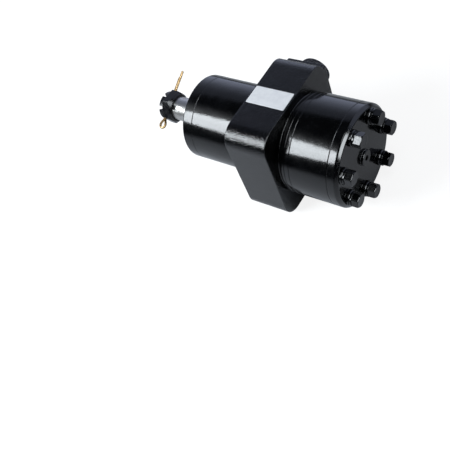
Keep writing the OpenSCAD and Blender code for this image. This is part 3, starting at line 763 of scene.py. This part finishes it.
def make_cover_screw():
    head, neck, end = X_COVER + 0.5, X_BARREL - 0.5, X_BARREL + 11
    rims = socket_rims(head, head + 3, 5, 3.2, out=-1)
    rims += lathe([(head, 3.2, 0), (head, 5, 0.6), (head + 6, 5, 0.25), (head + 6, 3, 0.4),
                   (neck, 3, 0), (neck, 3, 0)])[1:]
    rims += thread_rims(neck, end - 0.8, 3, 2.45, 1, SMALL, per_turn=6)
    rims += [ring(end, 2.3), [(end, 0, 0)]]
    return skinned("front_cover_socket_screws", rims)


# The output shaft, its nut and its cotter pin

def link_socket(a):
    """Distance to the wall of the splined socket in the shaft."""
    sector = TURN / 10
    off = (a + sector / 2) % sector - sector / 2
    return 13.5 if 13.5 * sin(abs(off)) < 2.15 else 10.9


def make_shaft():
    thread_r, small_r, big_r, mouth_r = 10, 12.53, 14.28, 14.4
    rims = lathe([(X_NOSE + 5.2, 0, 0), (X_NOSE + 4.5, 1.3, 0), (X_NOSE + 2.2, 1.3, 0), (X_NOSE, 2.9, 0.15),
                  (X_NOSE, thread_r - 1.5, 0.2), (X_NOSE + 1.3, thread_r - 0.35, 0)], FINE)
    rims += thread_rims(X_NOSE + 1.5, X_SEAT - 0.6, thread_r, 9.1, 1.5, FINE, per_turn=9)
    rims += lathe([
        (X_SEAT - 0.3, thread_r - 0.1, 0), (X_SEAT, thread_r - 0.1, 0), (X_SEAT, small_r, 0.4),
        (X_TAPER_BIG, big_r, 0.4), (X_COVER - 1.5, big_r, 0.8), (X_COVER, JOURNAL_R, 0.4),
        (X_SPOOL, JOURNAL_R, 0.4), (X_SPOOL, SPOOL_R, 0.4),
        *grooves((-15, -9), (13, 19), r=SPOOL_R, floor_r=19.5),
        (51, SPOOL_R, 0.5), (51, mouth_r, 0.5), (4, mouth_r, 0)], FINE, steps=4)
    rims += [ring(4, link_socket, FINE), ring(-13, link_socket, FINE), [(-13, 0, 0)]]
    piece = skinned("shaft_with_spool", rims)
    return cut(piece, keyway_cutter(), joined("cutter", [cotter_hole_cutter(), *spool_slot_cutters()]))


def keyway_cutter():
    """The keyway: open at the thread end, and round at the other, as a slot mill leaves it."""
    half, floor_r, centre = KEYWAY_HALF, 9.53, X_SEAT + KEYWAY_LEN - KEYWAY_HALF
    outline = [(X_SEAT - 1, -half), (centre, -half)]
    for s in range(1, 12):
        a = -pi / 2 + pi * s / 12
        outline.append((centre + half * cos(a), half * sin(a)))
    outline += [(centre, half), (X_SEAT - 1, half)]
    middle = X_SEAT + KEYWAY_LEN / 2
    rims = [[(middle, floor_r, 0)], [(x, floor_r, z) for x, z in outline],
            [(x, 30, z) for x, z in outline], [(middle, 30, 0)]]
    return placed(skinned("cutter", rims), about_x(KEYWAY_ANGLE))


def cotter_hole_cutter():
    path = [(-14, 0, 0), (-14, 4, 0), (-9.4, 2.1, 0), (9.4, 2.1, 0), (14, 4, 0), (14, 0, 0)]
    hole = turned("cutter", path, 48)
    return placed(hole, about_x(COTTER_ANGLE) @ shift(X_COTTER) @ ALONG_Y)


def spool_slot_cutters():
    slots = []
    for k in range(6):
        slots.append(placed(bar(-14, 4, 19.5, 25, -1.75, 1.75), about_x(k * 60 + 15)))
        slots.append(placed(bar(0, 14, 19.5, 25, -1.75, 1.75), about_x(k * 60 + 45)))
    return slots


def hexagon_rims(x_low, x_high, flats, corner, phase, points=SMALL, steep=30, face=0.95):
    """Rims of a hexagon from x_low to x_high, where a cone trims its corners."""
    outline = polygon_radius(6, flats / 2, corner, radians(phase))
    face_r = flats / 2 * face
    slope = tan(radians(steep))
    return [ring(x_low, outline, points),
            ring(lambda a: x_high - (outline(a) - face_r) * slope - 0.12, outline, points),
            ring(lambda a: x_high - (outline(a) - face_r) * slope, lambda a: outline(a) - 0.1, points),
            ring(x_high - 0.05, face_r + 0.08, points), ring(x_high, face_r - 0.12, points)]


def make_castle_nut():
    points, bore = 144, 10.02
    rear, front = X_SEAT - 0.03, X_SEAT - NUT_LEN
    crown_r = NUT_FLATS / 2 - 0.8
    outline = polygon_radius(6, NUT_FLATS / 2, 0.5, radians(COTTER_ANGLE))
    rims = [ring(rear, 10.9, points)]
    rims += hexagon_rims(X_CROWN + 0.35, rear, NUT_FLATS, 0.8, COTTER_ANGLE, points, 46, 0.9)[::-1]
    rims += [ring(X_CROWN + 0.1, lambda a: outline(a) - 0.08, points),
             ring(X_CROWN, lambda a: outline(a) - 0.32, points)]
    rims += lathe([(X_CROWN, crown_r + 0.45, 0), (X_CROWN - 0.35, crown_r, 0.2), (front, crown_r, 0)],
                  points, steps=4)[:-1]
    rims += lathe([(front + 2, crown_r, 0), (front + 0.8, crown_r, 0.4), (front, crown_r - 0.8, 0.3),
                   (front, 11, 0.2), (front + 0.9, bore, 0)], points, steps=4)
    piece = skinned("slotted_nut", rims + [ring(rear - 0.8, bore, points)], loop=True)
    cut(piece, *(nut_slot_cutter(front, k) for k in range(3)))
    soften = piece.modifiers.new("Edges", "BEVEL")
    soften.width = 0.22 * MM
    soften.segments = 2
    soften.limit_method = "ANGLE"
    soften.angle_limit = radians(50)
    return baked(piece)


def nut_slot_cutter(front, k):
    """A bar across the nut's crown that cuts two of its slots, with a round floor."""
    half, round_r = 2.3, 1.2
    outline = [(front - 1, -half), (front, -half)]
    for s in range(7):
        a = pi / 2 * s / 6
        outline.append((X_CROWN - round_r + round_r * sin(a), -half + round_r - round_r * cos(a)))
    outline += [(x, -z) for x, z in outline[::-1]]
    rims = [[(front + 1, -20, 0)], [(x, -21, z) for x, z in outline],
            [(x, 20, z) for x, z in outline], [(front + 1, 20, 0)]]
    return placed(skinned("cutter", rims), about_x(COTTER_ANGLE + 60 * k))


def smooth_path(points, steps=6):
    path = []
    for k in range(len(points) - 1):
        p0, p1 = points[max(k - 1, 0)], points[k]
        p2, p3 = points[k + 1], points[min(k + 2, len(points) - 1)]
        for s in range(steps):
            t = s / steps
            path.append(tuple(0.5 * (2 * b + (c - a) * t + (2 * a - 5 * b + 4 * c - d) * t * t
                                     + (3 * b - a - 3 * c + d) * t ** 3)
                              for a, b, c, d in zip(p0, p1, p2, p3)))
    path.append(points[-1])
    return path


def make_cotter_pin():
    """A split pin of half-round wire: a long leg, an eye, and a short leg."""
    wire, gap = 1.65, 0.07
    half = [(-15, gap), (-16.4, 0.3), (-18.2, 1.2), (-20.4, 2.35), (-22.6, 2.9), (-24.5, 2.3), (-25.5, 1.1)]
    eye = half + [(-25.75, 0)] + [(y, -z) for y, z in half[::-1]]
    legs_in = [(y, gap) for y in (40.5, 30, 20, 8, -4, -12)]
    legs_out = [(y, -gap) for y in (-12, -4, 8, 20, 33)]
    path = smooth_path(legs_in + eye + legs_out)
    section = [(wire * cos(a), wire * sin(a)) for a in
               [-pi / 2 + pi * s / 10 for s in range(11)]]
    section += [(0, wire * t) for t in (0.5, 0, -0.5)]
    rims = []
    for k, (y, z) in enumerate(path):
        a, b = path[max(k - 1, 0)], path[min(k + 1, len(path) - 1)]
        along = Vector((b[0] - a[0], b[1] - a[1])).normalized()
        taper = 0.72 if k in (0, len(path) - 1) else 1
        rims.append([(side * taper, y + along.y * off * taper, z - along.x * off * taper)
                     for off, side in section])
    caps = [[(0, rims[i][0][1], sum(p[2] for p in rims[i]) / len(rims[i]))] for i in (0, -1)]
    piece = skinned("split_pin", [caps[0], *rims, caps[1]])
    side_by_side = Matrix.Rotation(radians(90), 4, "Y")
    return placed(piece, about_x(COTTER_ANGLE) @ shift(X_COTTER) @ side_by_side)


# The rear stack

def stack_holes(x, depth):
    return copies(drill(depth, 4.3, points=48), STATIONS, BOLT_PHASE, BOLT_CIRCLE_R, x)


def make_spacer_plate():
    inner, outer, deep = RING_GROOVE
    piece = turned("spacer_ring_plate", [
        (X_REAR, 15.5, 0.3), (X_REAR, STACK_R, 0.6), (X_PLATE, STACK_R, 0.6), (X_PLATE, outer, 0),
        (X_PLATE - deep, outer, 0), (X_PLATE - deep, inner, 0), (X_PLATE, inner, 0), (X_PLATE, 15.5, 0.3)],
        FINE, closed=True)
    galleries = copies(drill(8, 3.5, points=32), STATIONS, ROLLER_PHASE, 28, X_PLATE)
    return cut(piece, joined("cutter", [stack_holes(X_PLATE, 8), galleries]))


def far_side(a, centre, degrees, k, r):
    """Distance from the axis to the far side of circle k in the direction a, or 0 where it misses."""
    off = a - (radians(degrees) + TURN * k / STATIONS)
    across = centre * sin(off)
    if cos(off) <= 0 or abs(across) >= r:
        return 0
    return centre * cos(off) + sqrt(r * r - across * across)


def gear_cavity(a):
    """Distance to the gear ring's wall, with a hollow at each bolt and a pocket for each roller."""
    return max(30.2, *(max(far_side(a, 19.4, BOLT_PHASE, k, 12), far_side(a, 31, ROLLER_PHASE, k, 6.28))
                       for k in range(STATIONS)))


def make_gear_ring():
    points = 448
    rims = [ring(X_PLATE, gear_cavity, points)]
    rims += lathe([(X_PLATE, 44, 0), (X_PLATE, STACK_R, 0.6), (X_GEAR, STACK_R, 0.6), (X_GEAR, 44, 0)],
                  points)
    rims += [ring(X_GEAR, gear_cavity, points)]
    piece = skinned("roller_gear_ring", rims, loop=True)
    return cut(piece, stack_holes(X_GEAR, X_GEAR - X_PLATE + 3))


def make_end_cover():
    inner, outer, deep = RING_GROOVE
    piece = turned("end_cover_disc", [
        (X_GEAR, 4.9, 0), (X_GEAR, inner, 0), (X_GEAR + deep, inner, 0), (X_GEAR + deep, outer, 0),
        (X_GEAR, outer, 0), (X_GEAR, STACK_R, 0.6), (X_END - 3.1, STACK_R, 2.8), (X_END, STACK_R - 2.7, 1.9),
        (X_END, 4.9, 0.2)],
        FINE, closed=True)
    return cut(piece, stack_holes(X_END, X_END - X_GEAR + 3))


def make_cover_bolt():
    """One bolt of the end cover on the X axis: shank, round collar and chamfered hexagon."""
    start, collar = X_REAR - 16, X_END + 2.6
    hexagon = collar + 2
    top = hexagon + 7.2
    rims = [[(start, 0, 0)], ring(start, 3)]
    rims += thread_rims(start + 1, X_REAR, 4, 3.35, 1.25, SMALL, per_turn=6)
    rims += lathe([(X_REAR + 0.5, 4, 0), (collar, 4, 0), (collar, 7.5, 0.95), (hexagon, 7.5, 0.95),
                   (hexagon, 7.15, 0)])
    rims += hexagon_rims(hexagon, top, 13, 0.35, 15)[:-1]
    rims += [ring(top, 5.9), ring(top - 0.12, 5.2), [(top - 0.12, 0, 0)]]
    return skinned("end_cover_bolt_set", rims)


def make_washer():
    return turned("bolt_washer_set", [(X_END, 4.04, 0.2), (X_END, 8, 1.2), (X_END + 2.6, 8, 1.2),
                                      (X_END + 2.6, 4.04, 0.2)], closed=True)


def make_drain_plug():
    head, shank = X_END + 1, 4.86
    top = head + 2.2
    rims = socket_rims(top, X_END - 3, 5, 3.15)
    rims += lathe([(top, 3.15, 0), (top, 7.8, 0.75), (head, 7.8, 0.35), (head, shank, 0.2),
                   (X_GEAR + 1.5, shank, 0.5), (X_GEAR + 1.5, 0, 0)])[1:]
    return skinned("drain_plug_screw", rims)


def make_drain_seal():
    return turned("drain_plug_seal_ring", [(X_END, 4.9, 0.2), (X_END, 8.1, 0.35), (X_END + 1, 8.1, 0.45),
                                           (X_END + 1, 4.9, 0.2)], closed=True)


# The port plug and the label

def make_port_plug():
    """A moulded plug with a grip of small ribs around its flange."""
    name, top, flange_r = "port_plug_moulding", 7, 15.45
    body = turned(name, [
        (top - 1.5, 0, 0), (top - 1.5, 11, 0.7), (top, 12, 0.5), (top, flange_r, 1), (0, flange_r, 0.4),
        (0, 9.35, 0.4), (-12, 9.35, 0.7), (-12, 7, 0.4), (-1, 7, 0.6), (-1, 0, 0)], ROUND)
    rib = turned("rib", [(0.5, 0, 0), (0.7, 0.42, 0.2), (top - 1.5, 0.42, 0.3), (top - 1, 0, 0)], 8)
    piece = joined(name, [body, set_around(rib, 56, flange_r + 0.03, 0, PLUG_PLASTIC)])
    piece.name = piece.data.name = name
    return placed(piece, shift(PORT_X, PAD_FACE + 0.03, PORT_Z) @ ALONG_Y)


def make_label():
    """A blank film on the block, which follows its rolled edges."""
    length, width, corner, thick = 42, 21.5, 1.2, 0.2
    x, y = BLOCK_LEN / 2, -13 + width / 2

    def surface(along):
        off = max(BLOCK_EDGE - along, along - (BLOCK_LEN - BLOCK_EDGE), 0)
        return BLOCK_HALF - (BLOCK_EDGE - sqrt(max(BLOCK_EDGE * BLOCK_EDGE - off * off, 0)))

    rims = [[(x, y, BLOCK_HALF)]]
    for up, inset in [(0, 0), (thick * 0.6, 0), (thick, 0.12), (thick, 0.7), (thick, 2.5)]:
        outline = rectangle_outline(length - 2 * inset, width - 2 * inset, max(corner - inset, 0.3), 10)
        rims.append([(x + u, y + v, surface(x + u) + up) for u, v in outline])
    return skinned("blank_label", rims + [[(x, y, BLOCK_HALF + thick)]])


# Putting the pieces in

def dress(piece, body, slot, material, *nodes):
    """Gives a piece its finish, the body that it moves with, and the nodes that it stands for."""
    piece.data.materials.clear()
    piece.data.materials.append(material)
    for face in piece.data.polygons:
        face.material_index = 0
    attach(piece, body)
    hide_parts(*nodes)
    return piece


def second_finish(piece, material, chosen):
    """Gives another finish to the faces for which chosen(face) is true."""
    piece.data.materials.append(material)
    for face in piece.data.polygons:
        if chosen(face):
            face.material_index = 1


def on_barrel(face):
    at = face.center / MM
    return at.x < -1 or at.x > BLOCK_LEN + 0.3 or hypot(at.y, at.z) < BARREL_R


def on_keyway_wall(face):
    turn = about_x(-KEYWAY_ANGLE)
    at, out = turn @ (face.center / MM), turn @ face.normal
    along = X_SEAT < at.x < X_SEAT + KEYWAY_LEN + 0.1
    return along and at.y > 9.6 and abs(at.z) < KEYWAY_HALF + 0.1 and abs(out.y) < 0.2


casting = dress(evened(make_housing()), "motor_case", "black_paint", CAST_PAINT, "housing")
second_finish(casting, BARREL_PAINT, on_barrel)
for make, node in ((make_front_cover, "front_cover"), (make_spacer_plate, "spacer_plate"),
                   (make_gear_ring, "gear_ring"), (make_end_cover, "end_cover")):
    dress(evened(make()), "motor_case", "black_paint", SMOOTH_PAINT, node)
shaft = dress(evened(make_shaft()), "shaft", "ground_steel", GROUND_STEEL, "output_shaft")
# The keyway's walls are darkened as painted shade
second_finish(shaft, KEYWAY_PAINTED_SHADE, on_keyway_wall)
dress(evened(make_castle_nut()), "shaft", "black_oxide", NUT_OXIDE, "castle_nut")
dress(make_cotter_pin(), "shaft", "yellow_zinc", YELLOW_ZINC, "cotter_pin")
dress(evened(make_drain_plug()), "motor_case", "black_paint", BOLT_PAINT, "drain_plug")
dress(evened(make_drain_seal()), "motor_case", "seal_rubber", SEAL_RUBBER, "drain_plug_seal")
dress(make_label(), "motor_case", "label_film", LABEL_FILM, "label_plate")

# The bolts are tightened to angles of their own
bolts = set_around(make_cover_bolt(), STATIONS, BOLT_CIRCLE_R, BOLT_PHASE, BOLT_PAINT,
                   own_turn=13, own_spread=9, seed=94)
dress(evened(bolts), "motor_case", "black_paint", BOLT_PAINT, "end_cover_bolts")
washers = set_around(make_washer(), STATIONS, BOLT_CIRCLE_R, BOLT_PHASE, BOLT_PAINT)
dress(evened(washers), "motor_case", "black_paint", BOLT_PAINT, "bolt_washers")
screws = set_around(make_cover_screw(), COVER_SCREW_COUNT, COVER_SCREW_R, COVER_SCREW_PHASE, PLAIN_STEEL)
dress(evened(screws), "motor_case", "plain_steel", PLAIN_STEEL, "front_cover_screws")
dress(evened(make_port_plug()), "plug", "plug_plastic", PLUG_PLASTIC, "port_plug")

# The nodes inside the motor keep their own meshes and get a finish here
INSIDE = (
    (GROUND_STEEL, ["bearing_rollers", "thrust_needles"] + [f"roller_{k}" for k in range(1, 8)]),
    (PLAIN_STEEL, ["drive_link", "link_spacer", "rotor", "bearing_ring", "thrust_washer_front",
                   "thrust_washer_rear"]),
    (CAGE_BRASS, ["bearing_cage", "thrust_cage"]),
    (SEAL_RUBBER, ["front_cover_o_ring", "dust_seal", "shaft_seal", "housing_face_o_ring", "plate_o_ring",
                   "end_cover_o_ring"]),
)
for material, nodes in INSIDE:
    for node in nodes:
        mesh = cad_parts[node].data
        if not mesh.materials:
            mesh.materials.append(material)
        for k in range(len(mesh.materials)):
            mesh.materials[k] = material


# Floor, light and camera

WALL_AZIMUTH = 148
LAMP_AZIMUTH = -126.5
PANEL = (62, 26)
CARD = (-9, 26)
CAMERA_AZIMUTH = -33.884
CAMERA_ELEVATION = 50.327
CAMERA_ROLL = 28.715
CAMERA_PLACE = Vector((0.36412, -0.34376, 0.49732))


def cosine(degrees):
    return cos(radians(degrees))


def direction(azimuth, elevation):
    """The unit vector from the origin at an angle from +X toward +Y, and a height, in degrees."""
    a, e = radians(azimuth), radians(elevation)
    return Vector((cos(a) * cos(e), sin(a) * cos(e), sin(e)))


def seen_by(tree):
    """Masks of the rays from the camera, straight or through glass, and of those that a gloss sends."""
    path = put(tree, "LightPath").outputs
    return reckon(tree, "MAXIMUM", path["Is Camera Ray"], path["Is Transmission Ray"]), path["Is Glossy Ray"]


def make_floor():
    """A pale floor that glows for the camera, so that it blends into the background. Its glow and colour in
    reflections are painted light: they fade with distance from the object, and the glow is cut out beneath
    the gear ring as a painted shadow.
    """
    x, level = 20, -BLOCK_HALF
    rims = [[(x, 0, level)]]
    for r in (60, 150, 300, 480, 700):
        rims.append([(x + r * cos(TURN * k / 96), r * sin(TURN * k / 96), level) for k in range(96)])
    piece = skinned("floor", rims)
    if piece.data.polygons[0].normal.z < 0:
        piece.data.flip_normals()
    material = bpy.data.materials.new("Pale floor")
    tree = emptied(material)
    see, glossy = seen_by(tree)
    at = put(tree, "TexCoord").outputs["Object"]
    # Painted light in reflections: a pool of glow near the object that fades with distance, and a painted
    # shadow beneath the gear ring where the glow is cut out
    close = fade(tree, measure(tree, "LENGTH", at), 0.6, 0.12, 0.08, 1)
    shadow_spot_distance = measure(tree, "DISTANCE", at, (0.07, 0, level * MM))
    painted_pool_and_shadow = times(tree, glossy, close, fade(tree, shadow_spot_distance, 0.03, 0.07))
    glow = reckon(tree, "MULTIPLY_ADD", painted_pool_and_shadow, 0.12, times(tree, see, 0.84))
    lit_share = reckon(tree, "MAXIMUM", see, from_one(tree, times(tree, glossy, from_one(tree, close))))
    pale = mix(tree, see, (0.54, 0.56, 0.6, 1), (0.3, 0.3, 0.3, 1))
    lit = put(tree, "BsdfDiffuse", Color=mix(tree, lit_share, (0, 0, 0, 1), pale))
    shine = put(tree, "Emission", Color=(1, 1, 1, 1), Strength=glow)
    both = put(tree, "AddShader", _0=lit.outputs[0], _1=shine.outputs[0])
    put(tree, "OutputMaterial", Surface=both.outputs[0])
    piece.data.materials.append(material)
    return piece


def make_world():
    """A white background, a soft room light, and a pale wall and cards that the gloss paint mirrors."""
    world = bpy.data.worlds.new("Pale room")
    scene.world = world
    tree = emptied(world)
    at = put(tree, "TexCoord").outputs["Generated"]
    split = put(tree, "SeparateXYZ", Vector=at).outputs
    height = reckon(tree, "ARCSINE", split["Z"])
    level = reckon(tree, "SQRT", from_one(tree, times(tree, split["Z"], split["Z"])))

    def round_from(azimuth, outer, inner):
        """1 within an angle around an azimuth, at any height, and 0 outside a wider one."""
        a = radians(azimuth)
        toward = plus(tree, times(tree, split["X"], cos(a)), times(tree, split["Y"], sin(a)))
        facing = reckon(tree, "DIVIDE", toward, reckon(tree, "MAXIMUM", level, 0.001))
        return fade(tree, facing, cosine(outer), cosine(inner))

    def up_from(low, high, to_low=0, to_high=1):
        return fade(tree, height, radians(low), radians(high), to_low, to_high)

    def spot(place, outer, inner, strength):
        beside = measure(tree, "DOT_PRODUCT", at, direction(*place))
        return fade(tree, beside, cosine(outer), cosine(inner), 0, strength)

    wall = times(tree, up_from(6, 44, 1, 0.3), up_from(52.5, 46.5), round_from(WALL_AZIMUTH, 66, 34))
    feather = times(tree, up_from(64, 38), round_from(LAMP_AZIMUTH, 50, 18))
    halo = times(tree, reckon(tree, "POWER", feather, 2), up_from(30, 36, 0, 1.7))
    see, glossy = seen_by(tree)
    other = from_one(tree, reckon(tree, "MINIMUM", 1, plus(tree, see, glossy)))
    lights = (((1, 1, 1), see),
              ((0.93, 0.97, 1.04), times(tree, other, 0.3)),
              ((0.9, 0.955, 1), times(tree, glossy, plus(tree, halo, spot(CARD, 22, 17, 13)))),
              ((0.76, 0.84, 1.1), times(tree, glossy, plus(tree, wall, spot(PANEL, 42, 24, 0.8), 0.012))))
    tone = None
    for tint, amount in lights:
        part = put(tree, "VectorMath", {"operation": "SCALE"}, _0=tint, Scale=amount).outputs[0]
        tone = part if tone is None else put(tree, "VectorMath", {"operation": "ADD"},
                                             _0=tone, _1=part).outputs[0]
    glow = put(tree, "Background", Color=tone, Strength=1)
    put(tree, "OutputWorld", Surface=glow.outputs[0])


def disc_lamp(name, azimuth, elevation, diameter, radiance):
    """A round soft lamp that faces the object."""
    distance = 1.3
    lamp = bpy.data.lights.new(name, "AREA")
    lamp.shape = "DISK"
    lamp.size = diameter
    lamp.energy = radiance * pi * pi * diameter * diameter / 4
    lamp.color = (0.9, 0.955, 1)
    holder = linked(name, lamp)
    toward = direction(azimuth, elevation)
    holder.matrix_world = (Matrix.Translation(toward * distance)
                           @ toward.to_track_quat("Z", "Y").to_matrix().to_4x4())
    return holder


def make_camera():
    lens = bpy.data.cameras.new("camera")
    lens.sensor_width = 36
    lens.lens = 55.366
    lens.clip_start = 0.01
    lens.clip_end = 20
    holder = linked("camera", lens)
    back = direction(CAMERA_AZIMUTH, CAMERA_ELEVATION)
    level = direction(CAMERA_AZIMUTH + 90, 0)
    above = back.cross(level)
    r = radians(CAMERA_ROLL)
    right = level * cos(r) - above * sin(r)
    up = level * sin(r) + above * cos(r)
    holder.matrix_world = Matrix.Translation(CAMERA_PLACE) @ Matrix((right, up, back)).transposed().to_4x4()
    scene.camera = holder
    return holder


make_world()
softbox = disc_lamp("softbox", LAMP_AZIMUTH, 32.5, 0.68, 16)
fill = disc_lamp("fill", -25, 70, 0.5, 3)
make_floor()
make_camera()
scene.view_settings.view_transform = "Standard"
